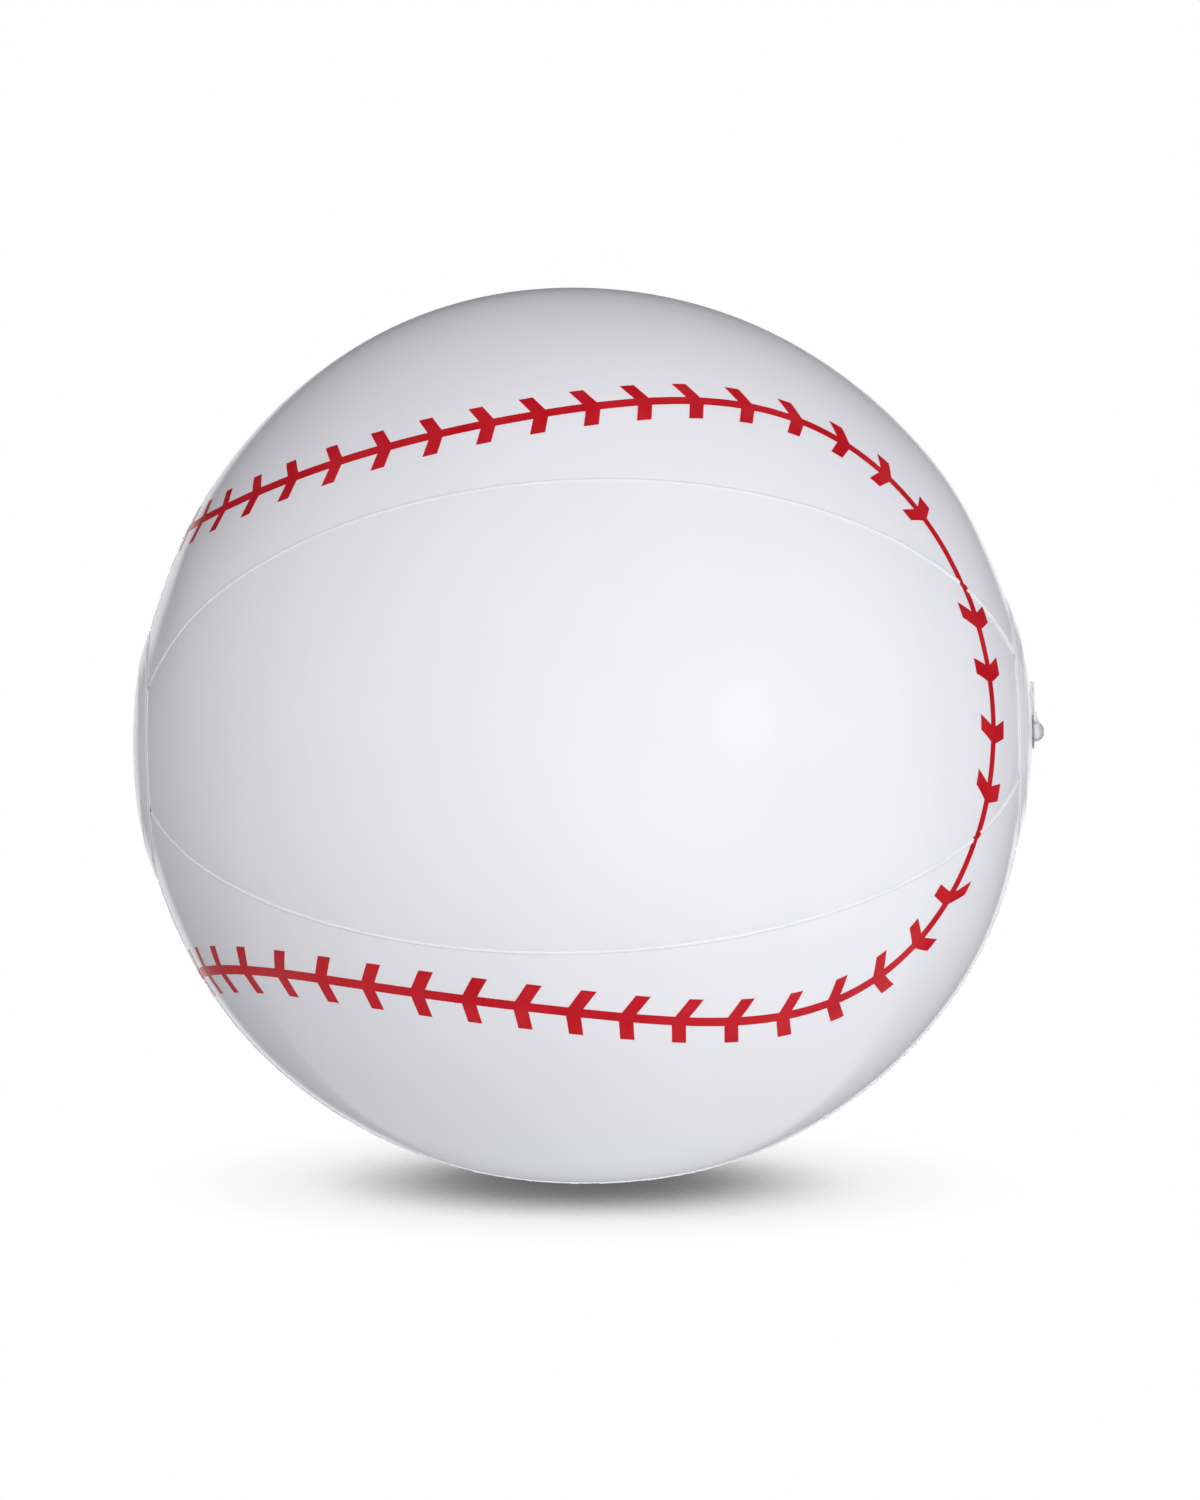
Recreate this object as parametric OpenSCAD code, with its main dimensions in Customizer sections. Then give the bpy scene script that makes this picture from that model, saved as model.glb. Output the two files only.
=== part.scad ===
// Inflatable beach ball with six welded film panels, two round end caps and a sunk push-in valve.
// The ball's axis runs along X, with the valve at the +X end.
// The origin is the centre of the flat patch on which the ball stands, and +Z is up.

/* [Ball] */
// Outside radius of the inflated ball
ball_r = 150; // [110:1:220]
// Thickness of the vinyl film
film = 0.25; // [0.2:0.05:0.5]
// Radius of the flat patch that the film makes on the floor
patch_r = 17; // [10:0.5:17]

/* [Panels] */
// Number of gore panels
gore_count = 6; // [4:1:12]
// Turn of the first seam about the ball's axis, from the back towards the top
seam_turn = 22; // [0:1:59]
// Radius of the weld bead that shows along a seam
bead_r = 0.45; // [0.3:0.05:0.6]
// Depth of the welded edge that stands inside along a seam
fin_depth = 2; // [1:0.25:4]

/* [End caps] */
// Radius of an end cap, from the ball's axis to its rim
cap_r = 42; // [36:0.2:60]
// Width of the ring where a cap lies over the panel tips
cap_lap = 10; // [3:0.5:14]
// Bare stretch between a cap's rim and the end of a bead
bead_stop = 0.6; // [0.4:0.1:2]

/* [Valve] */
// Distance of the valve below the ball's axis
valve_drop = 3.2; // [0:0.2:5]
// Radius of the bore that takes the pump nozzle
nozzle_r = 2.6; // [2:0.1:3.2]
// Length of the bore that takes the pump nozzle
nozzle_len = 9; // [6:0.5:12]
// Step from the nozzle bore out to the stopper's seat
mouth_step = 0.4; // [0.2:0.1:0.8]
// Wall of the stem round the stopper's seat
stem_wall = 1.6; // [1:0.1:2.2]
// Width of the lip round the stem's mouth
lip_w = 1.2; // [0.6:0.1:1.8]
// Thickness of the lip
lip_t = 0.5; // [0.4:0.1:1]
// Open ring between the lip and the hole in the cap
hole_room = 2.2; // [1.5:0.1:3.5]
// Width of the valve's flange, welded inside the cap
flange_w = 6; // [4:0.5:10]
// Thickness of the flange
flange_t = 0.8; // [0.6:0.1:1.2]
// Thickness of the soft cone between flange and stem
web_t = 0.5; // [0.3:0.1:0.8]
// Height of the soft cone's foot above the stem's inner end
web_lift = 2.5; // [1.5:0.5:5]

/* [Stopper] */
// Overhang of the stopper's head past its seat
head_over = 0.6; // [0.4:0.1:1]
// Height of the stopper's head
head_h = 3.3; // [2.6:0.1:3.4]
// Length of the stopper's plug
plug_len = 5.5; // [3.5:0.25:6]
// Free length of the seat below the plug
plug_room = 1.5; // [0.5:0.25:3]

/* [Strap] */
// Width of the strap
strap_w = 4; // [3:0.25:5]
// Thickness of the strap
strap_t = 0.5; // [0.4:0.05:0.6]
// Distance from the stem's centre to the strap's bend
bend_reach = 16.1; // [14:0.1:20]
// Radius of the rolled bend
bend_r = 0.75; // [0.6:0.05:0.9]
// Height at which the strap runs onto the stopper's head
ramp_h = 2.3; // [1.5:0.1:2.4]
// Distance from the stem's centre at which the strap starts to rise
ramp_reach = 8; // [6:0.5:10]

/* [Check flap] */
// Overlap of the flap past the nozzle bore
flap_over = 1.3; // [0.8:0.1:1.6]
// Thickness of the flap
flap_t = 0.4; // [0.3:0.05:0.5]
// Radius of the rolled edge on which the flap swings
roll_r = 0.3; // [0.25:0.05:0.4]
// Length of that rolled edge
roll_len = 4; // [2:0.5:5]

/* [Clearances] */
// Thickness of the weld line between two films
weld_line = 0.05; // [0.03:0.01:0.1]
// Gap between valve pieces that close on each other
seat_gap = 0.15; // [0.1:0.05:0.3]
// Radial gap round the plug in its seat
plug_clear = 0.1; // [0.05:0.05:0.2]

/* [Hidden] */
$fn = 96;

// Ball
centre_z = sqrt(pow(ball_r, 2) - pow(patch_r, 2));
reach = 2 * ball_r;
gore_angle = 360 / gore_count;
floor_side = 270;
patch_angle = asin(patch_r / ball_r);
graze_angle = acos(centre_z / (ball_r + bead_r));

// Caps and panel tips
cap_in = ball_r + weld_line;
cap_top = cap_in + film;
tip_r = cap_r - cap_lap;
bead_angle = asin((cap_r + bead_stop) / ball_r);

// Valve radii
mouth_r = nozzle_r + mouth_step;
stem_r = mouth_r + stem_wall;
lip_r = stem_r + lip_w;
hole_r = lip_r + hole_room;
flange_r = hole_r + flange_w;
flange_in = ball_r - flange_t;

// Valve heights along the ball's axis, from the ball's centre
lip_z = cap_top + seat_gap;
mouth_z = lip_z + lip_t;
seat_z = mouth_z - plug_len - plug_room;
stem_z = seat_z - nozzle_len;
head_z = mouth_z + seat_gap;
bend_z = mouth_z + seat_gap / 2;
web_low = stem_z + web_lift;
web_high = sqrt(pow(flange_in, 2) - pow(hole_r + valve_drop, 2)) + flange_t / 2;
roll_z = stem_z - seat_gap - roll_r;

// Stopper, whose tip clears the seat's far wall as it swings about the bend
head_r = mouth_r + head_over;
plug_r = mouth_r - plug_clear;
tip_depth = bend_z - (mouth_z - plug_len);
swing_r = sqrt(pow(bend_reach + mouth_r, 2) - pow(tip_depth, 2)) - bend_reach;
plug_tip_r = min(plug_r, swing_r - plug_clear);
flap_r = nozzle_r + flap_over;

function seam_angle(k) = seam_turn + (k - 1) * gore_angle;

// Turn from a direction about the axis down to the floor's
function off_floor(angle) = abs((angle - floor_side + 540) % 360 - 180);

// Whether a panel holds some of the flat patch, and whether a seam's bead comes down to the floor
function stands(k) = off_floor(seam_angle(k) + gore_angle / 2) < gore_angle / 2 + patch_angle;
function grazes(k) = off_floor(seam_angle(k)) < graze_angle;

// Stands a shape made about Z, from the ball's centre, on the ball's axis
module on_axis() translate([0, 0, centre_z]) rotate([90, 0, 90]) children();

// The same about the valve's own axis, with local Y up
module at_valve() on_axis() translate([0, -valve_drop, 0]) children();

module shell(outer, inner) {
    difference() {
        sphere(outer);
        sphere(inner);
    }
}

// The ball's volume, flattened where it stands, at a depth inside its outer face
module ball_volume(inset) {
    intersection() {
        translate([0, 0, centre_z]) sphere(ball_r - inset);
        translate([-reach, -reach, inset]) cube(2 * reach);
    }
}

// Turns a flat outline about the ball's axis from one seam to the next
module between_seams(k) on_axis() rotate(seam_angle(k)) rotate_extrude(angle = gore_angle) children();

module round_panel(k) {
    between_seams(k) difference() {
        circle(ball_r);
        circle(ball_r - film);
        translate([tip_r - 2 * reach, -reach]) square(2 * reach);
    }
}

module standing_panel(k) {
    intersection() {
        difference() {
            ball_volume(0);
            ball_volume(film);
            on_axis() cylinder(r = tip_r, h = 2 * reach, center = true);
        }
        between_seams(k) translate([0, -reach]) square([reach, 2 * reach]);
    }
}

// Cross-section of a welded edge: half a bead outside and a fin inside, on one side of the seam
module edge_profile(side) {
    intersection() {
        circle(bead_r);
        translate([-bead_r, side > 0 ? 0 : -2 * bead_r]) square(2 * bead_r);
    }
    translate([-film - fin_depth, side > 0 ? 0 : -film]) square([film / 2 + fin_depth, film]);
}

module welded_edge(k, side) {
    difference() {
        on_axis() rotate(seam_angle(k)) rotate([90, 0, 0]) rotate(bead_angle - 90)
            rotate_extrude(angle = 180 - 2 * bead_angle) translate([ball_r, 0]) edge_profile(side);
        if (grazes(k)) translate([-reach, -reach, -2 * reach]) cube(2 * reach);
    }
}

module gore(k) {
    color("white") {
        if (stands(k)) standing_panel(k);
        else round_panel(k);
        welded_edge(k, -1);
        welded_edge(k + 1, 1);
    }
}

module cap_film() {
    intersection() {
        shell(cap_top, cap_in);
        cylinder(r = cap_r, h = reach);
    }
}

module plain_end_cap() color("white") on_axis() mirror([0, 0, 1]) cap_film();

module valve_end_cap() {
    color("white") difference() {
        on_axis() cap_film();
        at_valve() cylinder(r = hole_r, h = reach);
    }
}

module valve_flange() {
    color("aliceblue") difference() {
        intersection() {
            on_axis() shell(ball_r, flange_in);
            at_valve() cylinder(r = flange_r, h = reach);
        }
        at_valve() cylinder(r = hole_r, h = reach);
    }
}

module valve_web() {
    foot_r = stem_r + seat_gap;
    top_r = hole_r - seat_gap;
    color("aliceblue") at_valve() rotate_extrude() polygon([
        [foot_r, web_low], [foot_r + web_t, web_low], [top_r, web_high], [top_r - web_t, web_high]
    ]);
}

module valve_stem() {
    color("aliceblue") at_valve() difference() {
        union() {
            translate([0, 0, stem_z]) cylinder(r = stem_r, h = mouth_z - stem_z);
            translate([0, 0, lip_z]) cylinder(r = lip_r, h = lip_t);
        }
        cylinder(r = nozzle_r, h = reach);
        translate([0, 0, seat_z]) cylinder(r = mouth_r, h = reach);
    }
}

module check_flap() {
    color("aliceblue") at_valve() {
        translate([0, 0, roll_z + roll_r - flap_t]) cylinder(r = flap_r, h = flap_t);
        translate([0, flap_r, roll_z]) rotate([0, 90, 0]) cylinder(r = roll_r, h = roll_len, center = true);
    }
}

// The head of the stopper, which the strap is trimmed to at a weld line's distance
module stopper_head(margin) {
    translate([0, 0, head_z]) intersection() {
        sphere(head_r + margin);
        cylinder(r = reach, h = head_h + margin);
    }
}

module stopper() {
    color("aliceblue") at_valve() {
        stopper_head(0);
        translate([0, 0, mouth_z - plug_len])
            cylinder(r1 = plug_tip_r, r2 = plug_r, h = plug_len + 2 * seat_gap);
    }
}

module strap_root() {
    color("aliceblue") at_valve() difference() {
        union() {
            translate([-strap_w / 2, 0, lip_z]) cube([strap_w, bend_reach, strap_t]);
            translate([0, bend_reach, bend_z]) rotate([0, 90, 0]) cylinder(r = bend_r, h = strap_w, center = true);
        }
        cylinder(r = lip_r + weld_line, h = reach);
    }
}

module strap_tail() {
    tail_end = bend_reach - bend_r - seat_gap;
    color("aliceblue") at_valve() difference() {
        translate([0, 0, head_z]) rotate([90, 0, 90]) linear_extrude(strap_w, center = true) polygon([
            [0, 0], [tail_end, 0], [tail_end, strap_t], [ramp_reach, strap_t], [head_r / 2, ramp_h], [0, ramp_h]
        ]);
        stopper_head(weld_line);
    }
}

for (k = [1:gore_count]) {
    gore(k);
}
plain_end_cap();
valve_end_cap();
valve_flange();
valve_web();
valve_stem();
check_flap();
stopper();
strap_root();
strap_tail();
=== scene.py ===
# %% [markdown]
# An inflatable beach ball printed like a baseball. The CAD frame holds its real build: six film panels, two
# end caps and a small clear valve. This lesson dresses that frame: it shapes the thin film, its welds and
# its print as fine meshes, and finishes every surface. Lengths are metres, and the ball's axis is X.

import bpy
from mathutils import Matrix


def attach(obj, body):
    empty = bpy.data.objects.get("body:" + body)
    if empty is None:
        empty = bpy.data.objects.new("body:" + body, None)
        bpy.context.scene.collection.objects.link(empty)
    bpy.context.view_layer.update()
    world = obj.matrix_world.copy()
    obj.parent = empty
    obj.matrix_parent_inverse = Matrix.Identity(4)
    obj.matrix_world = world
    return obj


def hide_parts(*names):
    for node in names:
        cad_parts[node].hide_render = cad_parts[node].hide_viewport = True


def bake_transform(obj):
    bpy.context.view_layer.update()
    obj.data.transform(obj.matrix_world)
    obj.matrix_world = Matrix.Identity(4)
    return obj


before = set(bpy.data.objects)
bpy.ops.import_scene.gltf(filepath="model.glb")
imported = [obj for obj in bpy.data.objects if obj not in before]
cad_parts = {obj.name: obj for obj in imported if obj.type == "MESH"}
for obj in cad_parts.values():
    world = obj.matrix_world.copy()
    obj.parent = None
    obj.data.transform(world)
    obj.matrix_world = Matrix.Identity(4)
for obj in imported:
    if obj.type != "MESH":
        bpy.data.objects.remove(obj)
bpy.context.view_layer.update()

# %% Tools of the lesson
import math

import bmesh
import bpy
import numpy as np
from mathutils import Matrix, Vector, noise

scene = bpy.context.scene
mm = 0.001
print("Blender", bpy.app.version_string)

# %% [markdown]
# The ball stands on a small flat patch, so its centre sits a little lower than its radius. Every later cell
# asks for places by latitude, towards the valve, and by turn about the axis, from the viewer's side
# upwards, because panels, seams and print all follow those two angles.

# %% The ball's own angles
ball_r = 150 * mm
patch_r = 17 * mm
centre = Vector((0, 0, math.sqrt(ball_r**2 - patch_r**2)))
gore_count = 6
gore_turn = math.tau / gore_count
first_seam = math.radians(38)


def direction(lat, turn):
    """Unit vector from the ball's centre."""
    return Vector((math.sin(lat), -math.cos(lat) * math.cos(turn), math.cos(lat) * math.sin(turn)))


def angles(point):
    """Latitude, turn and distance from the centre of a point."""
    arm = point - centre
    return math.atan2(arm.x, math.hypot(arm.y, arm.z)), math.atan2(arm.z, -arm.y), arm.length


# %% [markdown]
# The camera comes first, because everything is seen through it. The photo was taken with
# a long lens from a little above the ball's middle, and the ball's axis leans slightly in the picture. A
# long lens keeps the outline round. The lens follows from how many pixels the ball's radius covers, and a
# small shift puts the ball where the photo has it.

# %% Camera
photo_h = 1500
ball_px = (581.6, 739.0)
ball_px_r = 450.0
middle_px = (600.0, 750.0)
camera_far = 16.5 * ball_r
camera_lift = math.radians(4.8)
camera_swing = math.radians(0.6)
camera_lean = math.radians(2.16)
sensor_w = 36

to_camera = direction(-camera_swing, camera_lift)
axis_seen = Vector((1, 0, 0)) - to_camera * to_camera.x
axis_seen.normalize()
camera_right = Matrix.Rotation(-camera_lean, 3, to_camera) @ axis_seen
camera_up = to_camera.cross(camera_right)

camera = bpy.data.objects.new("camera", bpy.data.cameras.new("camera"))
scene.collection.objects.link(camera)
scene.camera = camera
camera.data.sensor_width = sensor_w
camera.data.lens = sensor_w * ball_px_r / photo_h / math.tan(math.asin(ball_r / camera_far))
camera.data.shift_x = (middle_px[0] - ball_px[0]) / photo_h
camera.data.shift_y = (ball_px[1] - middle_px[1]) / photo_h
turned = Matrix((camera_right, camera_up, to_camera)).transposed().to_4x4()
camera.matrix_world = Matrix.Translation(centre + to_camera * camera_far) @ turned
scene.view_settings.view_transform = "Standard"
camera_at = [round(v, 3) for v in camera.matrix_world.translation]
print("lens", round(camera.data.lens, 1), "camera at", camera_at)

# %% [markdown]
# The photo's ground is plain white with a soft round shadow under the ball. Lighting a floor to pure white
# would burn the ball out, so what the camera and mirror rays see of the floor is a plain white that darkens
# only where the ball closes it in. To all other light the floor is a light table: it glows, more so under
# the ball, and it casts no shadow of its own, so that the tall walls of light reach below it. The ball's
# axis isn't quite level in the photo but the ground is, so the floor is turned by the camera's lean.

# %% Floor
floor_r = 12.0
shadow_reach = 0.08
table_glow = 0.245
near_glow = 0.66
near_reach = 0.15
glow_tint = (0.98, 0.97, 1.04, 1)
shadow_tones = ((0.0, 0.13), (0.43, 0.92), (0.75, 1.0))
circle_steps = 96
sharp_angle = math.radians(50)


def new_nodes(tree, **kinds):
    """Adds the named nodes to a node tree."""
    return {name: tree.nodes.new("ShaderNode" + kind) for name, kind in kinds.items()}


def set_tones(ramp, tones):
    """Sets a colour ramp to (place, grey or colour) stops."""
    stops = ramp.color_ramp.elements
    while len(stops) < len(tones):
        stops.new(0.5)
    for stop, (place, tone) in zip(stops, tones):
        stop.position = place
        stop.color = tone if hasattr(tone, "__len__") else (tone, tone, tone, 1)


def seen_rays(tree):
    """Socket that is 1 for camera, mirror and see-through rays, and 0 for scattered light."""
    parts = new_nodes(tree, rays="LightPath", either="Math", any="Math")
    parts["either"].operation = "MAXIMUM"
    parts["any"].operation = "MAXIMUM"
    tree.links.new(parts["rays"].outputs["Is Camera Ray"], parts["either"].inputs[0])
    tree.links.new(parts["rays"].outputs["Is Glossy Ray"], parts["either"].inputs[1])
    tree.links.new(parts["either"].outputs[0], parts["any"].inputs[0])
    tree.links.new(parts["rays"].outputs["Is Transmission Ray"], parts["any"].inputs[1])
    return parts["any"].outputs[0]


def new_finish(name):
    """A new material, its node tree and its shader."""
    finish = bpy.data.materials.new(name)
    finish.use_nodes = True
    tree = finish.node_tree
    return finish, tree, tree.nodes["Principled BSDF"]


def light_table():
    """Finish of the floor: white to the eye, with a painted shadow round the ball, and a glowing table to
    all other light.
    """
    finish, tree, shader = new_finish("light_table")
    tree.nodes.remove(shader)
    parts = new_nodes(tree, closed="AmbientOcclusion", tones="ValToRGB", white="Emission", glow="Emission",
                      pick="MixShader", spot="TexCoord", far="VectorMath", power="MapRange")
    parts["closed"].inputs["Distance"].default_value = shadow_reach
    parts["far"].operation = "LENGTH"
    parts["power"].interpolation_type = "SMOOTHSTEP"
    parts["power"].inputs["From Max"].default_value = near_reach
    parts["power"].inputs["To Min"].default_value = near_glow
    parts["power"].inputs["To Max"].default_value = table_glow
    parts["glow"].inputs["Color"].default_value = glow_tint
    set_tones(parts["tones"], shadow_tones)
    parts["tones"].color_ramp.interpolation = "EASE"
    link = tree.links.new
    link(parts["spot"].outputs["Object"], parts["far"].inputs[0])
    link(parts["far"].outputs["Value"], parts["power"].inputs["Value"])
    link(parts["power"].outputs[0], parts["glow"].inputs["Strength"])
    # The white that camera and mirror rays see darkens where the ball closes it in: a painted shadow.
    link(parts["closed"].outputs["AO"], parts["tones"].inputs[0])
    link(parts["tones"].outputs[0], parts["white"].inputs["Color"])
    link(seen_rays(tree), parts["pick"].inputs[0])
    link(parts["glow"].outputs[0], parts["pick"].inputs[1])
    link(parts["white"].outputs[0], parts["pick"].inputs[2])
    link(parts["pick"].outputs[0], tree.nodes["Material Output"].inputs["Surface"])
    return finish


def add_piece(name, bm, *finishes):
    """Turns a bmesh into a smooth-shaded object that keeps its true corners."""
    open_edges = sum(not edge.is_manifold for edge in bm.edges)
    mesh = bpy.data.meshes.new(name)
    bm.to_mesh(mesh)
    bm.free()
    for finish in finishes:
        mesh.materials.append(finish)
    mesh.shade_smooth()
    mesh.set_sharp_from_angle(angle=sharp_angle)
    piece = bpy.data.objects.new(name, mesh)
    scene.collection.objects.link(piece)
    print(name, len(mesh.polygons), "faces,", open_edges, "open edges")
    return piece


bm = bmesh.new()
bmesh.ops.create_circle(bm, cap_ends=True, radius=floor_r, segments=circle_steps)
bmesh.ops.rotate(bm, cent=(0, 0, 0), matrix=Matrix.Rotation(-camera_lean, 3, to_camera), verts=bm.verts)
floor = add_piece("floor", bm, light_table())
floor.visible_shadow = False

# %% [markdown]
# The light is soft and comes mostly from the camera's side and from the right, so the ball's left edge
# falls off. Each wall of light is one large lamp that leaves no mirror image, and one smaller soft box,
# which lights nothing, leaves the bright patch on the film. The front lamp is a touch warmer than the rest.
# The room adds an even, weak light. What is seen of it, directly or mirrored, is a white wall that ends a
# little above eye level.

# %% Room
room_tones = ((0.50, (0.56, 0.55, 0.58, 1)), (0.75, (0.46, 0.45, 0.475, 1)), (1.0, (0.30, 0.295, 0.31, 1)))
wall_tones = ((0.575, 1.0), (0.70, 0.10))


def light_room():
    """World that lights the ball weakly, and that is a white wall to the eye and in mirrors."""
    world = bpy.data.worlds.new("room")
    scene.world = world
    world.use_nodes = True
    tree = world.node_tree
    tree.nodes.clear()
    parts = new_nodes(tree, way="TexCoord", split="SeparateXYZ", height="MapRange", glow="ValToRGB",
                      wall="ValToRGB", room="Background", white="Background", pick="MixShader",
                      out="OutputWorld")
    parts["height"].inputs["From Min"].default_value = -1
    set_tones(parts["glow"], room_tones)
    set_tones(parts["wall"], wall_tones)
    link = tree.links.new
    link(parts["way"].outputs["Generated"], parts["split"].inputs[0])
    link(parts["split"].outputs["Z"], parts["height"].inputs["Value"])
    link(parts["height"].outputs[0], parts["glow"].inputs[0])
    link(parts["height"].outputs[0], parts["wall"].inputs[0])
    link(parts["glow"].outputs[0], parts["room"].inputs["Color"])
    link(parts["wall"].outputs[0], parts["white"].inputs["Color"])
    link(seen_rays(tree), parts["pick"].inputs[0])
    link(parts["room"].outputs[0], parts["pick"].inputs[1])
    link(parts["white"].outputs[0], parts["pick"].inputs[2])
    link(parts["pick"].outputs[0], parts["out"].inputs["Surface"])


light_room()
print("room lit")

# %% Lamps
lamp_far = 2.6
wash_size = 2.6
wash_powers = {"front": 50, "right": 15, "upper": 11, "low": 23, "back": 20, "left": 8}
wash_ways = {"front": (0, 0, 1), "right": (1, -0.2, 0), "upper": (0.7, 0.6, 0.4), "low": (0.5, -1, -0.2),
             "back": (0.25, 0.3, -1), "left": (-1, 0, -1)}
front_tint = (1, 1, 0.965)
box_power = 11
box_size = (0.68, 0.84)
box_way = (0.651, 0.100, 0.752)


def hang_lamp(name, way_seen, power, width, height):
    """Hangs a soft box in a direction given as the camera sees it, facing the ball."""
    right, up, near = way_seen
    way = (camera_right * right + camera_up * up + to_camera * near).normalized()
    lamp = bpy.data.objects.new(name, bpy.data.lights.new(name, "AREA"))
    lamp.data.shape = "RECTANGLE"
    lamp.data.size = width
    lamp.data.size_y = height
    lamp.data.energy = power
    lamp.location = centre + way * lamp_far
    lamp.rotation_euler = way.to_track_quat("Z", "Y").to_euler()
    scene.collection.objects.link(lamp)
    print("lamp", name, [round(v, 2) for v in lamp.location])
    return lamp


for side, power in wash_powers.items():
    wash = hang_lamp(side + "_wash", wash_ways[side], power, wash_size, wash_size)
    wash.visible_glossy = False
    wash.data.cycles.use_multiple_importance_sampling = False
bpy.data.lights["front_wash"].color = front_tint
soft_box = hang_lamp("soft_box", box_way, box_power, *box_size)
soft_box.visible_diffuse = False

# %% [markdown]
# Vinyl mirrors most at the edge of what one sees of it, where it would take on the white of the ground and
# lose its outline. Product photographers stand black cards round the back of a shiny thing for that. Here
# one dark ring stands just behind the ball, square to the camera, and only mirror rays see it. Its hole is
# wider than it is tall, because the photo keeps a thin bright edge on both sides but not at the top, and
# the ring glows faintly at the lower left, a painted reflection on the ball's edge where the photo's is
# light too.

# %% Dark ring
ring_back = 10 * mm
ring_hole_r = 153.5 * mm
ring_r = 6.0
ring_wide = 1.045
ring_shift = (camera_right * -2 - camera_up) * mm
ring_tone = 0.03
# The ring's glow at the lower left, seen only in mirrors, paints a light reflection on the ball's edge.
pale_tone = 0.29
pale_turn = math.radians(212)
pale_from = 110 * mm
pale_full = 165 * mm
hidden_from = ("camera", "diffuse", "transmission", "volume_scatter", "shadow")


def black_card():
    """Finish of the ring: nearly black, and glowing faintly towards one side, which paints a reflection on
    the ball.
    """
    finish, tree, shader = new_finish("black_card")
    shader.inputs["Base Color"].default_value = (ring_tone, ring_tone, ring_tone, 1)
    shader.inputs["Specular IOR Level"].default_value = 0
    pale_way = camera_right * math.cos(pale_turn) + camera_up * math.sin(pale_turn)
    parts = new_nodes(tree, spot="TexCoord", along="VectorMath", pale="MapRange")
    parts["along"].operation = "DOT_PRODUCT"
    parts["along"].inputs[1].default_value = pale_way
    parts["pale"].inputs["From Min"].default_value = centre.dot(pale_way) + pale_from
    parts["pale"].inputs["From Max"].default_value = centre.dot(pale_way) + pale_full
    parts["pale"].inputs["To Max"].default_value = pale_tone
    link = tree.links.new
    link(parts["spot"].outputs["Object"], parts["along"].inputs[0])
    link(parts["along"].outputs["Value"], parts["pale"].inputs["Value"])
    # The ring glows towards the lower left: a painted reflection on the ball's edge.
    link(parts["pale"].outputs[0], shader.inputs["Emission Strength"])
    return finish


bm = bmesh.new()
bmesh.ops.create_circle(bm, radius=ring_hole_r, segments=circle_steps)
bmesh.ops.scale(bm, vec=(ring_wide, 1, 1), verts=bm.verts)
made = bmesh.ops.extrude_edge_only(bm, edges=bm.edges[:])["geom"]
rim = [part for part in made if isinstance(part, bmesh.types.BMVert)]
bmesh.ops.scale(bm, vec=(ring_r / ring_hole_r, ring_r / ring_hole_r, 1), verts=rim)
ring_at = centre - to_camera * ring_back + ring_shift
bmesh.ops.transform(bm, matrix=Matrix.Translation(ring_at) @ turned, verts=bm.verts)
ring = add_piece("dark_ring", bm, black_card())
for rays in hidden_from:
    setattr(ring, "visible_" + rays, False)

# %% [markdown]
# The film is white soft vinyl. Close up it has a fine grain from the rollers that pressed it, faint cloudy
# patches, and a gloss that is a little uneven. All three are noises on the piece's own coordinates: one
# tints the colour, one moves the roughness and one, very fine, is the grain.

# %% White film
film_tones = ((0.30, (0.800, 0.808, 0.852, 1)), (0.70, (0.832, 0.840, 0.880, 1)))
film_gloss = (0.13, 0.21)
film_shine = 0.10
film_cloud = 12
film_grain = (1500, 0.03 * mm)
grain_strength = 0.15
cloud_detail = 3
fine_detail = 2
gloss_finer = 4


def add_noise(tree, spots, scale, detail):
    """A noise on the piece's own coordinates."""
    cloud = tree.nodes.new("ShaderNodeTexNoise")
    cloud.inputs["Scale"].default_value = scale
    cloud.inputs["Detail"].default_value = detail
    tree.links.new(spots, cloud.inputs["Vector"])
    return cloud.outputs[0]


def set_surface(tree, shader, cloud_scale, tones, gloss, grain_scale, grain_depth):
    """Cloudy colour, uneven gloss and a fine grain, each from its own noise."""
    spots = tree.nodes.new("ShaderNodeTexCoord").outputs["Object"]
    parts = new_nodes(tree, tint="ValToRGB", gloss="MapRange", grain="Bump")
    set_tones(parts["tint"], tones)
    parts["gloss"].inputs["To Min"].default_value = gloss[0]
    parts["gloss"].inputs["To Max"].default_value = gloss[1]
    parts["grain"].inputs["Strength"].default_value = grain_strength
    parts["grain"].inputs["Distance"].default_value = grain_depth
    link = tree.links.new
    link(add_noise(tree, spots, cloud_scale, cloud_detail), parts["tint"].inputs[0])
    link(add_noise(tree, spots, cloud_scale * gloss_finer, fine_detail), parts["gloss"].inputs["Value"])
    link(add_noise(tree, spots, grain_scale, fine_detail), parts["grain"].inputs["Height"])
    link(parts["tint"].outputs[0], shader.inputs["Base Color"])
    link(parts["gloss"].outputs[0], shader.inputs["Roughness"])
    link(parts["grain"].outputs[0], shader.inputs["Normal"])


white_film, tree, shader = new_finish("white_film")
set_surface(tree, shader, film_cloud, film_tones, film_gloss, *film_grain)
shader.inputs["Specular IOR Level"].default_value = film_shine
print("finish", white_film.name)

# %% [markdown]
# The stitching is red ink, printed on the flat film before it was welded. It is a little duller than the
# film, and a shade uneven where the ink lies thicker.

# %% Red ink
ink_tones = ((0.35, (0.50, 0.006, 0.014, 1)), (0.65, (0.57, 0.016, 0.026, 1)))
ink_gloss = (0.20, 0.30)
ink_shine = 0.10
ink_cloud = 55

red_ink, tree, shader = new_finish("red_ink")
set_surface(tree, shader, ink_cloud, ink_tones, ink_gloss, *film_grain)
shader.inputs["Specular IOR Level"].default_value = ink_shine
print("finish", red_ink.name)

# %% [markdown]
# The valve is moulded in clear soft vinyl. It lets light through, but it is a little milky, so most of its
# look is transmission with a touch of roughness rather than clean glass. The flange, the cone and the flap
# lie inside the ball, so they keep their plain solids and only get this finish.

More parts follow.
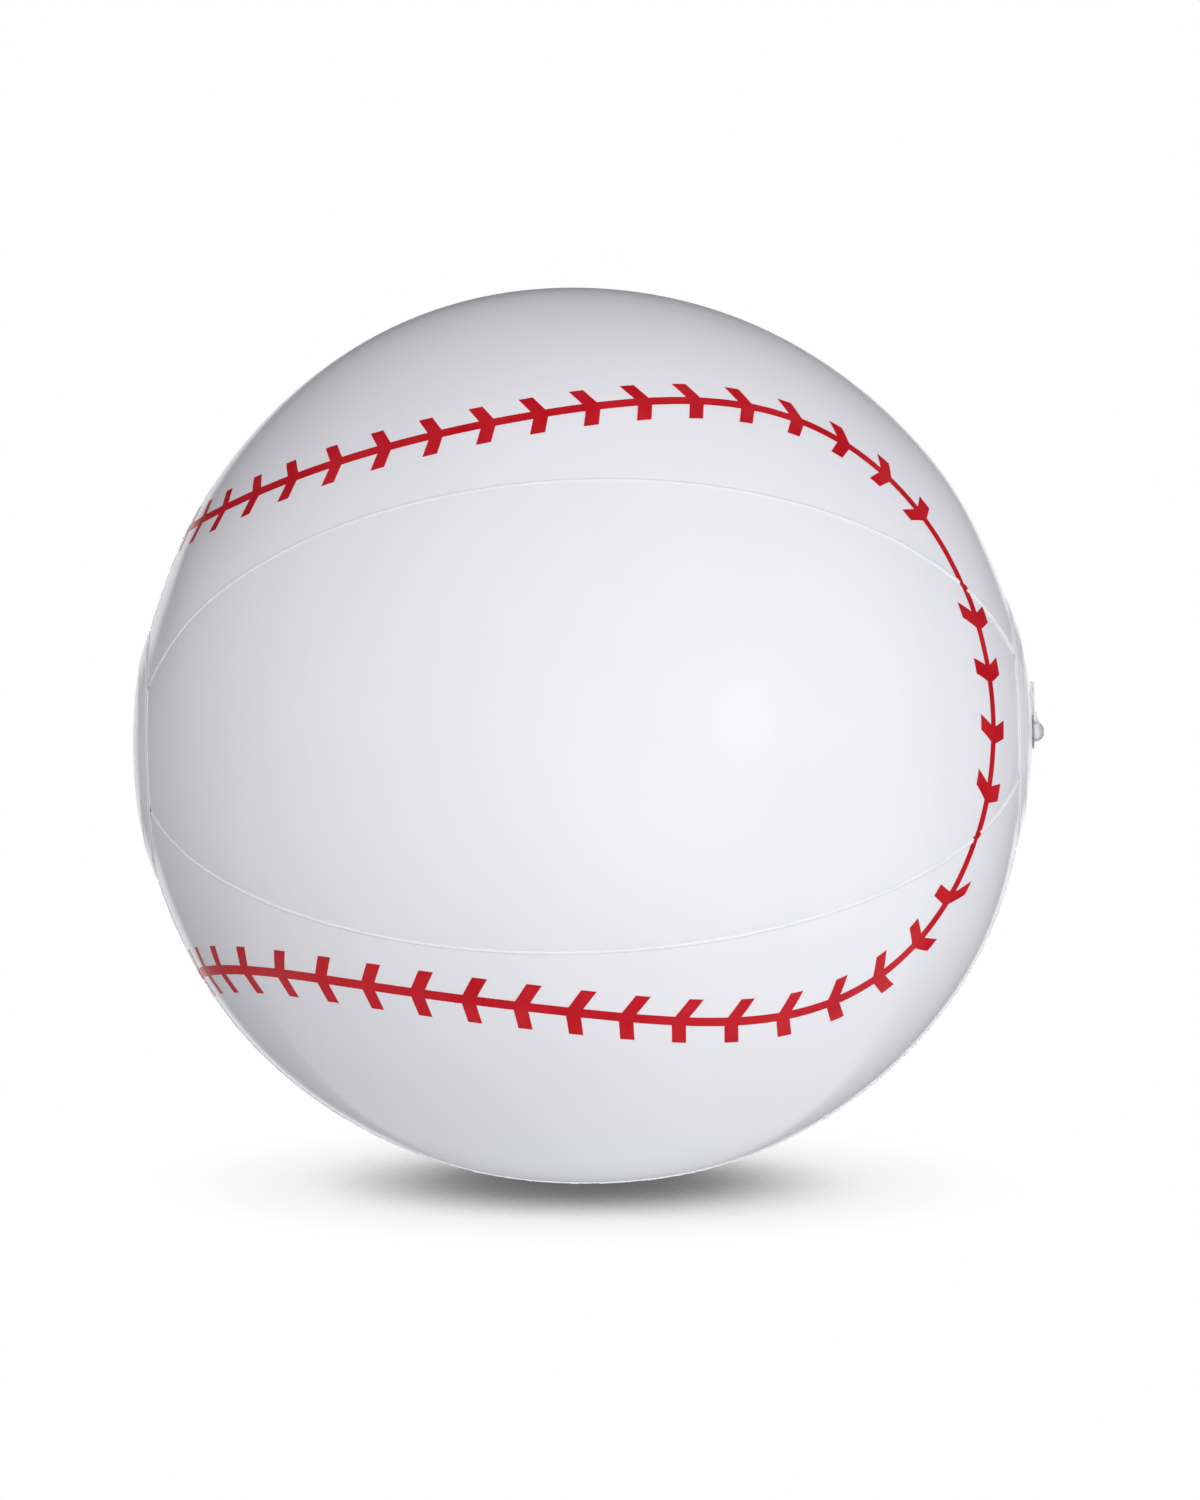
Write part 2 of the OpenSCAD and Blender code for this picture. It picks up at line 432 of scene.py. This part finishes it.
# %% Clear vinyl
clear_tones = ((0.30, (0.80, 0.81, 0.84, 1)), (0.70, (0.88, 0.89, 0.92, 1)))
clear_gloss = (0.10, 0.22)
clear_cloud = 250
clear_grain = (1800, 0.02 * mm)
clear_through = 0.7
vinyl_ior = 1.48
kept_solids = ("valve_flange", "valve_web", "check_flap")

clear_vinyl, tree, shader = new_finish("clear_soft_vinyl")
set_surface(tree, shader, clear_cloud, clear_tones, clear_gloss, *clear_grain)
shader.inputs["Transmission Weight"].default_value = clear_through
shader.inputs["IOR"].default_value = vinyl_ior
for node in kept_solids:
    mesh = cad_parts[node].data
    mesh.materials.clear()
    mesh.materials.append(clear_vinyl)
print("finish", clear_vinyl.name)

# %% [markdown]
# Air makes flat panels round, but not perfectly. The film dips a little along each weld and puckers beside
# it, it is held in at the rim of the end caps, and it bellies out slightly elsewhere. One function gives
# that height over a true ball at any spot, so panels, caps, beads and print all agree. It could be
# simulated, but on a ball this taut a formula gives the same form, and it is the same on every run.

# %% Shape of the blown-up film
crease_depth = 0.30 * mm
crease_reach = 4.5 * mm
pucker_height = 0.10 * mm
pucker_pitch = 3.5 * mm
pucker_reach = 4.0 * mm
pucker_turns = 9
pucker_slice = 0.5
cap_r = 42.0 * mm
tip_r = 32.0 * mm
groove_depth = 0.5 * mm
groove_in = 6.0 * mm
groove_out = 9.0 * mm
crown_height = 0.10 * mm
crown_w = 5.0 * mm
pole_dip = 0.5 * mm
dip_reach = 20.0 * mm
shoulder_depth = 1.4 * mm
shoulder_r = 56 * mm
shoulder_reach = 16 * mm
swells = ((1.5, 20, 107), (-1.3, 16, 147), (-0.8, 13, 165), (-0.8, 14, 203), (-1.1, 18, 240),
          (-1.9, 18, 268), (0.7, 20, 326), (-0.6, 10, 350), (-0.9, 20, 48))
swell_nearer = 0.16
floor_soft = 0.4 * mm


def bump(at, middle, width):
    """A bell of height 1 round a middle."""
    return math.exp(-(((at - middle) / width) ** 2))


def swell_way(around):
    """Direction of a swell on the outline, by its angle in the picture, from the right and upwards."""
    around = math.radians(around)
    return Vector((math.cos(around), -swell_nearer, math.sin(around))).normalized()


swell_forms = [(height * mm, 2 / math.radians(spread) ** 2, swell_way(around))
               for height, spread, around in swells]


def seam_gap(lat, turn):
    """Distance along the film to the nearest seam."""
    past = (turn - first_seam) % gore_turn
    return min(past, gore_turn - past) * ball_r * math.cos(lat)


def weld_height(lat, turn):
    """Crease and puckers beside a welded seam."""
    gap = seam_gap(lat, turn)
    ripple = noise.noise(Vector((ball_r * lat / pucker_pitch, pucker_turns * turn, pucker_slice)))
    pucker = pucker_height * ripple * math.exp(-gap / pucker_reach)
    return pucker - crease_depth * math.exp(-gap / crease_reach)


def cap_form(lat):
    """Form near a pole: a groove at the cap's rim, a crown inside it, and the plain cap's flat middle."""
    from_axis = ball_r * math.cos(lat)
    groove = groove_depth * bump(from_axis, cap_r, groove_in if from_axis < cap_r else groove_out)
    dip = pole_dip * bump(from_axis, 0, dip_reach) if lat < 0 else 0
    return crown_height * bump(from_axis, tip_r, crown_w) - groove - dip


def body_height(lat, turn):
    """Slow changes of the outline: the caps, drawn in round them above, and a few wide swells and dents."""
    way = direction(lat, turn)
    upper = (1 + way.z) / 2
    shoulder = shoulder_depth * upper * bump(ball_r * math.cos(lat), shoulder_r, shoulder_reach)
    swell = sum(height * math.exp(narrow * (way.dot(middle) - 1)) for height, narrow, middle in swell_forms)
    return cap_form(lat) + swell - shoulder


def film_point(lat, turn, height):
    """A point at a height over the film, pressed flat where the ball stands."""
    point = centre + direction(lat, turn) * (ball_r + body_height(lat, turn) + height)
    point.z = (point.z + math.hypot(point.z, floor_soft)) / 2
    return point


def panel_point(lat, turn, height):
    """A point at a height over a panel, with the crease and puckers of its welds."""
    return film_point(lat, turn, height + weld_height(lat, turn))


print("film at the front", [round(v, 5) for v in panel_point(0, 0, 0)])

# %% [markdown]
# The stitching runs round the ball as on a baseball, in one closed line of four bends. Two sums of sines
# give its latitude and turn: large ones make the bends, and small ones the stretch that the print shows on
# the blown-up film. Half the line is enough, because the other half is the same after half a turn.

# %% Path of the stitching
path_sway = {0: -1.91, 2: 59.35, 4: 2.58, 6: 2.35, 8: 0.58}
path_swing = {2: -2.34, 4: 22.74, 6: 3.08, 8: 2.60}
path_skew = 1.0
path_ahead = 9.23
path_twist = -1.16
path_end = math.radians(96)
path_samples = 4001


def path_angles(s):
    """Latitude and turn of the stitching, s being the path's own angle."""
    lat = sum(size * np.cos(n * s) for n, size in path_sway.items()) - path_skew * np.sin(2 * s)
    swing = sum(size * np.sin(n * s) for n, size in path_swing.items())
    turn = np.degrees(s) + path_ahead + swing + path_twist * np.cos(2 * s)
    return np.radians(lat), np.radians(turn)


path_lat, path_turn = path_angles(np.linspace(path_end, -path_end, path_samples))
path_ways = np.array([direction(lat, turn) for lat, turn in zip(path_lat, path_turn)])
path_steps = np.linalg.norm(np.diff(path_ways, axis=0), axis=1) * ball_r
path_along = np.concatenate(([0], np.cumsum(path_steps)))


def seam_crossing(seam):
    """Distance along the path at which it crosses a seam."""
    side = np.sign(path_turn - seam)
    return path_along[np.flatnonzero(np.diff(side))[0]]


def off_path(way):
    """Distance along the film from a direction to the stitching, on either half."""
    nearest = max((path_ways @ np.array(way)).max(), (path_ways @ np.array((way.x, -way.y, -way.z))).max())
    return math.acos(min(1, nearest)) * ball_r


upper_crossing = seam_crossing(first_seam)
lower_crossing = seam_crossing(first_seam - gore_turn)
top_crossing = seam_crossing(first_seam + gore_turn)
bottom_crossing = seam_crossing(first_seam - 2 * gore_turn)
print("stitching between seams, mm", [round((b - a) / mm) for a, b in
                                      ((top_crossing, upper_crossing), (upper_crossing, lower_crossing),
                                       (lower_crossing, bottom_crossing))])

# %% [markdown]
# A panel is a slice of film from one cap to the other. It is made with two spins: one vertex at a tip is
# spun along the seam, and that line is spun about the axis to the next seam. The columns are drawn closer
# together near the welds, where the film bends most. Then every vertex goes to its height, and solidify
# gives the sheet its thickness.

# %% Panel film
film_t = 0.25 * mm
tip_lat = math.acos(tip_r / ball_r)
panel_rows = 400
panel_columns = 48
edge_crowd = 0.75


def panel_start(k):
    """Turn of the lower seam of panel k."""
    return first_seam + gore_turn * (2 - k)


def seam_axis(seam):
    """Axis about which a spin runs along a seam towards the valve."""
    return direction(0, seam).cross(Vector((1, 0, 0)))


def reshape(verts, place):
    """Moves vertices to place(lat, turn, height over the ball)."""
    for vert in verts:
        lat, turn, far = angles(vert.co)
        vert.co = place(lat, turn, far - ball_r)


def face_outwards(bm):
    """Turns the faces of an open sheet away from the ball's centre."""
    bmesh.ops.recalc_face_normals(bm, faces=bm.faces)
    bm.faces.ensure_lookup_table()
    face = bm.faces[0]
    if face.normal.dot(face.calc_center_median() - centre) < 0:
        bmesh.ops.reverse_faces(bm, faces=bm.faces)


def panel_sheet(start):
    """Film of the panel that starts at a seam."""
    bm = bmesh.new()
    tip = bm.verts.new(centre + direction(-tip_lat, start) * ball_r)
    bmesh.ops.spin(bm, geom=[tip], cent=centre, axis=seam_axis(start), angle=2 * tip_lat, steps=panel_rows)
    seam = bm.verts[:] + bm.edges[:]
    bmesh.ops.spin(bm, geom=seam, cent=centre, axis=(-1, 0, 0), angle=gore_turn, steps=panel_columns)

    def place(lat, turn, height):
        share = ((turn - start + math.pi) % math.tau - math.pi) / gore_turn
        share -= edge_crowd * math.sin(math.tau * share) / math.tau
        return panel_point(lat, start + gore_turn * share, height)

    reshape(bm.verts, place)
    face_outwards(bm)
    bmesh.ops.solidify(bm, geom=bm.faces[:], thickness=film_t)
    return bm


print("a panel reaches to", round(math.degrees(tip_lat), 1), "degrees of latitude")

# %% [markdown]
# Where two panels are welded, the melted edge is squeezed out in a thin, slightly ragged bead, wider
# towards the valve, and half of it belongs to each panel. A small disc is cut in half at the seam and spun
# along it. Ink that the weld ran through stays in the bead, so its faces there are red.

# %% Weld beads
bead_r = 0.55 * mm
bead_swell = 0.5
bead_stop = 42.6 * mm
bead_steps = 640
bead_ragged = 0.2
ragged_pitch = 1.2 * mm
ragged_turns = 5
ragged_slice = 2.5
bead_sides = 12
spine_w = 3.5 * mm
stop_lat = math.acos(bead_stop / ball_r)


def half_bead(seam, side):
    """Half a bead along a seam, on the side of growing turn (1) or falling turn (-1)."""
    bm = bmesh.new()
    out = direction(-stop_lat, seam)
    across = direction(0, seam + math.pi / 2)
    start = centre + out * ball_r
    facing = Matrix((across, out, across.cross(out))).transposed().to_4x4()
    bmesh.ops.create_circle(bm, cap_ends=True, radius=bead_r, segments=bead_sides,
                            matrix=Matrix.Translation(start) @ facing)
    disc = bm.verts[:] + bm.edges[:] + bm.faces[:]
    bmesh.ops.bisect_plane(bm, geom=disc, plane_co=start, plane_no=-across * side, clear_outer=True)
    half = bm.verts[:] + bm.edges[:] + bm.faces[:]
    bmesh.ops.spin(bm, geom=half, cent=centre, axis=seam_axis(seam), angle=2 * stop_lat, steps=bead_steps)

    def place(lat, turn, height):
        spot = Vector((ball_r * lat / ragged_pitch, ragged_turns * seam, ragged_slice))
        ragged = 1 + bead_ragged * noise.noise(spot)
        wider = 1 + bead_swell * max(0, lat) / stop_lat
        off_seam = (turn - seam + math.pi) % math.tau - math.pi
        return panel_point(lat, seam + off_seam * wider, height * ragged * wider)

    reshape(bm.verts, place)
    for face in bm.faces:
        face.material_index = int(off_path((face.calc_center_median() - centre).normalized()) < spine_w / 2)
    bmesh.ops.recalc_face_normals(bm, faces=bm.faces)
    return bm


def join(bm, extra):
    """Adds another bmesh to the first, as Join does with objects."""
    carrier = bpy.data.meshes.new("carrier")
    extra.to_mesh(carrier)
    extra.free()
    bm.from_mesh(carrier)
    bpy.data.meshes.remove(carrier)


print("beads stop", round((bead_stop - cap_r) / mm, 2), "mm before the caps")

for k in range(1, gore_count + 1):
    start = panel_start(k)
    bm = panel_sheet(start)
    join(bm, half_bead(start, 1))
    join(bm, half_bead(start + gore_turn, -1))
    panel = add_piece(f"gore_film_{k}", bm, white_film, red_ink)
    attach(panel, "ball")
    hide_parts(f"gore_{k}")

# %% [markdown]
# A round cap closes the panel tips at each pole. It is welded on with a ring tool, which leaves a pressed
# band between two raised lines, and the seams under it show through as small ridges. The cap is a line from
# the pole to the rim, spun all the way round. The valve's cap starts at the edge of its hole, whose centre
# sits below the axis, so its inner rings are slid down to it.

# %% End cap film
cap_lift = 0.26 * mm
rim_in = 1.8 * mm
rim_line = 0.30 * mm
tip_line = 0.14 * mm
line_w = 0.7 * mm
band_press = 0.12 * mm
show_through = 0.18 * mm
show_w = 1.0 * mm
cap_rows = 110
cap_columns = 192
hole_r = 8.0 * mm
flange_r = 14.0 * mm
flange_line = 0.12 * mm
valve_drop = 3.2 * mm
cap_lat = math.acos(cap_r / ball_r)
merge_gap = mm / 1000


def cap_height(lat, turn):
    """Weld ring of a cap, over the film."""
    from_axis = ball_r * math.cos(lat)
    lines = rim_line * bump(from_axis, cap_r - rim_in, line_w) + tip_line * bump(from_axis, tip_r, line_w)
    in_band = 1 / (1 + math.exp((tip_r - from_axis) / (line_w / 2)))
    ridge = show_through * math.exp(-((seam_gap(lat, turn) / show_w) ** 2))
    return cap_lift + lines + in_band * (ridge - band_press)


def slide_to_valve(lat, turn):
    """Latitude and turn with the rings near the hole slid down to the valve."""
    from_axis = ball_r * math.cos(lat)
    share = (from_axis - hole_r) / (cap_r - hole_r)
    flat_y = from_axis * math.cos(turn)
    flat_z = from_axis * math.sin(turn) - valve_drop * (1 - share)
    return math.acos(math.hypot(flat_y, flat_z) / ball_r), math.atan2(flat_z, flat_y)


def valve_ring_height(lat, turn):
    """Ring where the cap is welded to the valve's flange."""
    from_axis = ball_r * math.cos(lat)
    from_valve = math.hypot(from_axis * math.cos(turn), from_axis * math.sin(turn) + valve_drop)
    return flange_line * (bump(from_valve, flange_r, line_w) + bump(from_valve, hole_r, line_w))


def cap_sheet(side, inner_r):
    """A cap at the valve's pole (1) or the plain one (-1), from inner_r out to its rim."""
    bm = bmesh.new()
    inner_lat = math.acos(inner_r / ball_r)
    start = bm.verts.new(centre + direction(inner_lat, 0) * ball_r)
    bmesh.ops.spin(bm, geom=[start], cent=centre, axis=-seam_axis(0), angle=inner_lat - cap_lat,
                   steps=cap_rows)
    line = bm.verts[:] + bm.edges[:]
    bmesh.ops.spin(bm, geom=line, cent=centre, axis=(1, 0, 0), angle=math.tau, steps=cap_columns,
                   use_merge=True)
    bmesh.ops.remove_doubles(bm, verts=bm.verts, dist=merge_gap)

    def place(lat, turn, height):
        if inner_r:
            lat, turn = slide_to_valve(lat, turn)
            height += valve_ring_height(lat, turn)
        return film_point(side * lat, turn, height + cap_height(lat, turn))

    reshape(bm.verts, place)
    face_outwards(bm)
    bmesh.ops.solidify(bm, geom=bm.faces[:], thickness=film_t)
    return bm


print("welded band of a cap", round((cap_r - tip_r) / mm, 1), "mm wide")

for name, side, inner_r in (("plain_end_cap", -1, 0), ("valve_end_cap", 1, hole_r)):
    bm = cap_sheet(side, inner_r)
    cap = add_piece(name + "_film", bm, white_film)
    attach(cap, "ball")
    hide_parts(name)

# %% [markdown]
# The print is drawn flat first, as the printer did: a spine, with slanting arms pulled out of its edges at
# every stitch. The flat drawing is then laid along the path on the film, trimmed at the seams and given the
# thickness of a coat of ink. As its own thin piece it keeps crisp edges, unlike a painted texture.

# %% Flat drawing of the stitches
arm_w = 4.8 * mm
arm_steps = 6
draw_step = 1.0 * mm


def pull(bm, edges, step):
    """Extrudes edges by a step and returns the new ones."""
    made = bmesh.ops.extrude_edge_only(bm, edges=edges)["geom"]
    ends = [part for part in made if isinstance(part, bmesh.types.BMVert)]
    bmesh.ops.translate(bm, verts=ends, vec=step)
    return [part for part in made if isinstance(part, bmesh.types.BMEdge) and set(part.verts) <= set(ends)]


def flat_drawing(first, last, stitches, reach, size):
    """Spine and arms in the plane: x along the path, y across it, positive on the inner side of the bends.
    A stitch is its place on the path and the lean of its inner and outer arm."""
    half = spine_w / 2 * size
    half_arm = arm_w / 2 * size
    arms = [(at - lean * half, side, lean) for at, *leans in stitches for side, lean in zip((1, -1), leans)]
    ends = {root + way * half_arm for root, side, lean in arms for way in (-1, 1)}
    stops = sorted(ends | set(np.arange(first, last, draw_step)) | {last})
    bm = bmesh.new()
    low, middle, high = (bm.verts.new((stops[0], y, 0)) for y in (-half, 0, half))
    front = [bm.edges.new((low, middle)), bm.edges.new((middle, high))]
    for here, there in zip(stops, stops[1:]):
        front = pull(bm, front, (there - here, 0, 0))
    sides = {way: [e for e in bm.edges if all(v.co.y * way > half / 2 for v in e.verts)] for way in (1, -1)}
    rise = (reach * size - half) / arm_steps
    for root, side, lean in arms:
        edges = [e for e in sides[side] if abs((e.verts[0].co.x + e.verts[1].co.x) / 2 - root) < half_arm]
        for step in range(arm_steps):
            edges = pull(bm, edges, (-lean * rise, side * rise, 0))
    return bm


print("spine", round(spine_w / mm, 1), "mm wide, arms", round(arm_w / mm, 1), "mm")

# %% Print laid on a panel
ink_lift = 0.04 * mm
ink_t = 0.02 * mm
run_on = 8 * mm


def lay_on_film(bm, half_turn, bow):
    """Carries a flat drawing onto the film along the path; bow moves it across, by its place."""
    for vert in bm.verts:
        at, across = vert.co.x, vert.co.y + bow(vert.co.x)
        here = Vector([np.interp(at, path_along, path_ways[:, i]) for i in range(3)]).normalized()
        ahead = Vector([np.interp(at + mm, path_along, path_ways[:, i]) for i in range(3)]) - here
        inner = ahead.cross(here).normalized()
        way = here * math.cos(across / ball_r) + inner * math.sin(across / ball_r)
        lat, turn, _ = angles(centre + way)
        vert.co = panel_point(lat, turn + half_turn, ink_lift)


def trim_at_seam(bm, seam, side):
    """Cuts off what lies past a seam."""
    geom = bm.verts[:] + bm.edges[:] + bm.faces[:]
    past = direction(0, seam + math.pi / 2) * side
    bmesh.ops.bisect_plane(bm, geom=geom, plane_co=centre, plane_no=past, clear_outer=True)


def print_panels(panels, first, last, stitches, reach, size=1, bow=lambda at: 0):
    """Prints the same stretch on a panel and on the one opposite."""
    for k, half_turn in zip(panels, (0, math.pi)):
        bm = flat_drawing(first - run_on, last + run_on, stitches, reach, size)
        lay_on_film(bm, half_turn, bow)
        trim_at_seam(bm, panel_start(k), -1)
        trim_at_seam(bm, panel_start(k) + gore_turn, 1)
        face_outwards(bm)
        bmesh.ops.solidify(bm, geom=bm.faces[:], thickness=ink_t)
        ink = add_piece(f"stitch_print_{k}", bm, red_ink)
        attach(ink, "ball")


print("coat of ink", round(ink_t / mm, 2), "mm thick")

# %% Stitches above the front panel
upper_gap = 27.0 * mm
upper_pitch = 17.5 * mm
upper_count = 18
upper_wave = (0.9 * mm, 1.0, 9.0)
upper_leans = ((0.50, 0.20), (0.29, 0.49))
upper_reach = 8.4 * mm
upper_spare = 2.4 * mm
lean_settle = 1.2
even_count = 14


def drift(i, size, peak, length):
    """How far a stitch has moved along the line where the blown-up film stretched unevenly."""
    return size * math.cos(math.tau * (i - peak) / length)


def spare(i, step):
    """How much further along a stitch lies at the far end of the line, where the drawing was stretched."""
    return step * max(0, i - even_count)


def settled(i, first, last):
    """Leans of a stitch's two arms, which settle from the first stitch's to those of the rest."""
    share = math.exp(-i / lean_settle)
    return [b + (a - b) * share for a, b in zip(first, last)]


upper = [(upper_crossing - upper_gap - i * upper_pitch - spare(i, upper_spare) + drift(i, *upper_wave),
          *settled(i, *upper_leans)) for i in range(upper_count)]
print_panels((2, 5), top_crossing, upper_crossing, upper, upper_reach)

# %% Stitches on the front panel
front_size = 1.16
front_out = 0.45 * mm
front_bow = 0.5 * mm
bow_fall = 3
front_places = (-29.1, -11.6, 8.4, 27.7)
front_leans = ((0.65, 0.12), (0.42, 0.22), (0.42, 0.28), (0.42, 0.28))
front_reach = 8.5 * mm
front_middle = (upper_crossing + lower_crossing) / 2
front = [(front_middle + place * mm, *leans) for place, leans in zip(front_places, front_leans)]
front_half = (lower_crossing - upper_crossing) / 2


def front_shift(at):
    """Shift of the front print across the path: outwards near the seams, and hardly any in the middle."""
    return front_bow * (1 - bow_fall * ((at - front_middle) / front_half) ** 2) - front_out


print_panels((3, 6), upper_crossing, lower_crossing, front, front_reach, size=front_size, bow=front_shift)

# %% Stitches below the front panel
lower_gap = 23.6 * mm
lower_pitch = 17.7 * mm
lower_count = 19
lower_wave = (1.4 * mm, 6.0, 11.0)
lower_leans = ((-0.12, 0.92), (0.45, 0.25))
lower_reach = 8.9 * mm
lower_out = 0.35 * mm
lower_spare = 1.2 * mm
lower = [(lower_crossing + lower_gap + i * lower_pitch + spare(i, lower_spare) + drift(i, *lower_wave),
          *settled(i, *lower_leans)) for i in range(lower_count)]
print_panels((4, 1), lower_crossing, bottom_crossing, lower, lower_reach, bow=lambda at: -lower_out)

# %% [markdown]
# The valve's stem and stopper are round mouldings. Each is an outline of a few points spun about the
# valve's axis, with its corners bevelled, because a mould never leaves a knife edge.

# %% Turned mouldings
valve_z = centre.z - valve_drop
mould_steps = 72
mould_round = 0.12 * mm
round_steps = 3
corner_angle = math.radians(40)


def turned_moulding(outline, closed):
    """Spins an outline of (radius, place along the axis), in millimetres, and rounds its corners."""
    bm = bmesh.new()
    verts = [bm.verts.new((x * mm, 0, valve_z + r * mm)) for r, x in outline]
    pairs = list(zip(verts, verts[1:])) + ([(verts[-1], verts[0])] if closed else [])
    edges = [bm.edges.new(pair) for pair in pairs]
    bmesh.ops.spin(bm, geom=verts + edges, cent=(0, 0, valve_z), axis=(1, 0, 0), angle=math.tau,
                   steps=mould_steps, use_merge=True)
    bmesh.ops.remove_doubles(bm, verts=bm.verts, dist=merge_gap)
    bmesh.ops.recalc_face_normals(bm, faces=bm.faces)
    corners = [e for e in bm.edges if e.is_manifold and e.calc_face_angle() > corner_angle]
    bmesh.ops.bevel(bm, geom=corners, offset=mould_round, affect="EDGES", segments=round_steps, profile=0.5,
                    material=-1)
    return bm


def add_moulding(name, bm, body, node):
    """Adds a moulding that stands for a CAD node and rides on its body."""
    piece = add_piece(name, bm, clear_vinyl)
    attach(piece, body)
    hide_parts(node)


print("valve's axis", round(valve_z / mm, 2), "mm above the ground")

# %% Stem and stopper
stem_in, seat_in, lip_in, mouth = 134.95, 143.95, 150.45, 150.95
nozzle_r, mouth_r, stem_r, lip_r = 2.6, 3.0, 4.6, 5.8
stem_outline = [(nozzle_r, stem_in), (stem_r, stem_in), (stem_r, lip_in), (lip_r, lip_in), (lip_r, mouth),
                (mouth_r, mouth), (mouth_r, seat_in), (nozzle_r, seat_in)]
add_moulding("valve_stem_moulding", turned_moulding(stem_outline, closed=True), "stem", "valve_stem")

plug_in, head_in, head_top = 145.45, 151.10, 154.40
plug_tip_r, plug_r, head_r = 2.1, 2.88, 3.6
dome_points = 12
dome_end = math.asin((head_top - head_in) / head_r)
dome_turns = np.linspace(0, dome_end, dome_points)
dome = [(head_r * math.cos(a), head_in + head_r * math.sin(a)) for a in dome_turns]
stopper_outline = [(0, plug_in), (plug_tip_r, plug_in), (plug_r, head_in), *dome, (0, head_top)]
add_moulding("stopper_button", turned_moulding(stopper_outline, closed=False), "stopper", "stopper")

# %% [markdown]
# The strap that keeps the stopper is a flat ribbon of the same vinyl. It leaves the stem's lip, folds back
# on itself at a soft bend and rises onto the stopper's head. It is one ribbon, so it is one piece: a small
# rectangle is extruded up, spun half a turn round the bend and extruded down again.

# %% Strap
strap_w = 4.0
strap_t = 0.5
lip_top = 5.75
bend_up = 16.1
bend_x = 151.025
gap_half = bend_x - mouth
bend_steps = 40
nub_swell = 0.30
ramp_up = 8.0
ramp_end = 2.6
ramp_rise = 1.9
ramp_curve = 1.5
strap_steps = 8


def strap_corner(x, y, up):
    """A point from its place along X and Y and its height over the valve's axis, in millimetres."""
    return Vector((x * mm, y * mm, valve_z + up * mm))


def face_in(parts):
    """The face among an operator's new parts."""
    return next(part for part in parts if isinstance(part, bmesh.types.BMFace))


def pushed(bm, end, step, steps):
    """Extrudes an end face in several steps, in millimetres, and returns the new end face."""
    for _ in range(steps):
        made = bmesh.ops.extrude_face_region(bm, geom=[end])["geom"]
        bmesh.ops.delete(bm, geom=[end], context="FACES_ONLY")
        end = face_in(made)
        bmesh.ops.translate(bm, verts=end.verts, vec=Vector(step) * mm / steps)
    return end


def swell_bend(bm):
    """Thickens the outside of the bend to a small nub."""
    bend_at = strap_corner(bend_x, 0, bend_up)
    for vert in bm.verts:
        arm = Vector((vert.co.x - bend_at.x, 0, vert.co.z - bend_at.z))
        if arm.z > 0 and arm.length > strap_t / 2 * mm:
            vert.co += arm * nub_swell * arm.z / arm.length


def flare_ramp(bm):
    """Leans the outer face of the strap's end outwards, in a hollow curve, onto the stopper's head."""
    face_x = (bend_x + gap_half + strap_t / 2) * mm
    for vert in bm.verts:
        up = (vert.co.z - valve_z) / mm
        if vert.co.x > face_x and up < ramp_up:
            vert.co.x += ramp_rise * mm * ((ramp_up - up) / (ramp_up - ramp_end)) ** ramp_curve


def strap_ribbon():
    """The strap from its foot on the lip, round the bend and down to the stopper."""
    bm = bmesh.new()
    edge_y = strap_w / 2
    corners = ((0, -edge_y), (strap_t, -edge_y), (strap_t, edge_y), (0, edge_y))
    foot = bm.faces.new([bm.verts.new(strap_corner(lip_in + dx, y, lip_top)) for dx, y in corners])
    end = face_in(bmesh.ops.extrude_face_region(bm, geom=[foot])["geom"])
    end = pushed(bm, end, (0, 0, bend_up - lip_top), strap_steps)
    bent = bmesh.ops.spin(bm, geom=[end], cent=strap_corner(bend_x, 0, bend_up), axis=(0, 1, 0),
                          angle=math.pi, steps=bend_steps)["geom_last"]
    bmesh.ops.delete(bm, geom=[end], context="FACES_ONLY")
    end = pushed(bm, face_in(bent), (0, 0, ramp_up - bend_up), strap_steps)
    pushed(bm, end, (0, 0, ramp_end - ramp_up), strap_steps)
    swell_bend(bm)
    flare_ramp(bm)
    bmesh.ops.remove_doubles(bm, verts=bm.verts, dist=merge_gap)
    bmesh.ops.recalc_face_normals(bm, faces=bm.faces)
    return bm


strap = add_piece("stopper_strap", strap_ribbon(), clear_vinyl)
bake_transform(strap)
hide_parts("strap_root", "strap_tail")
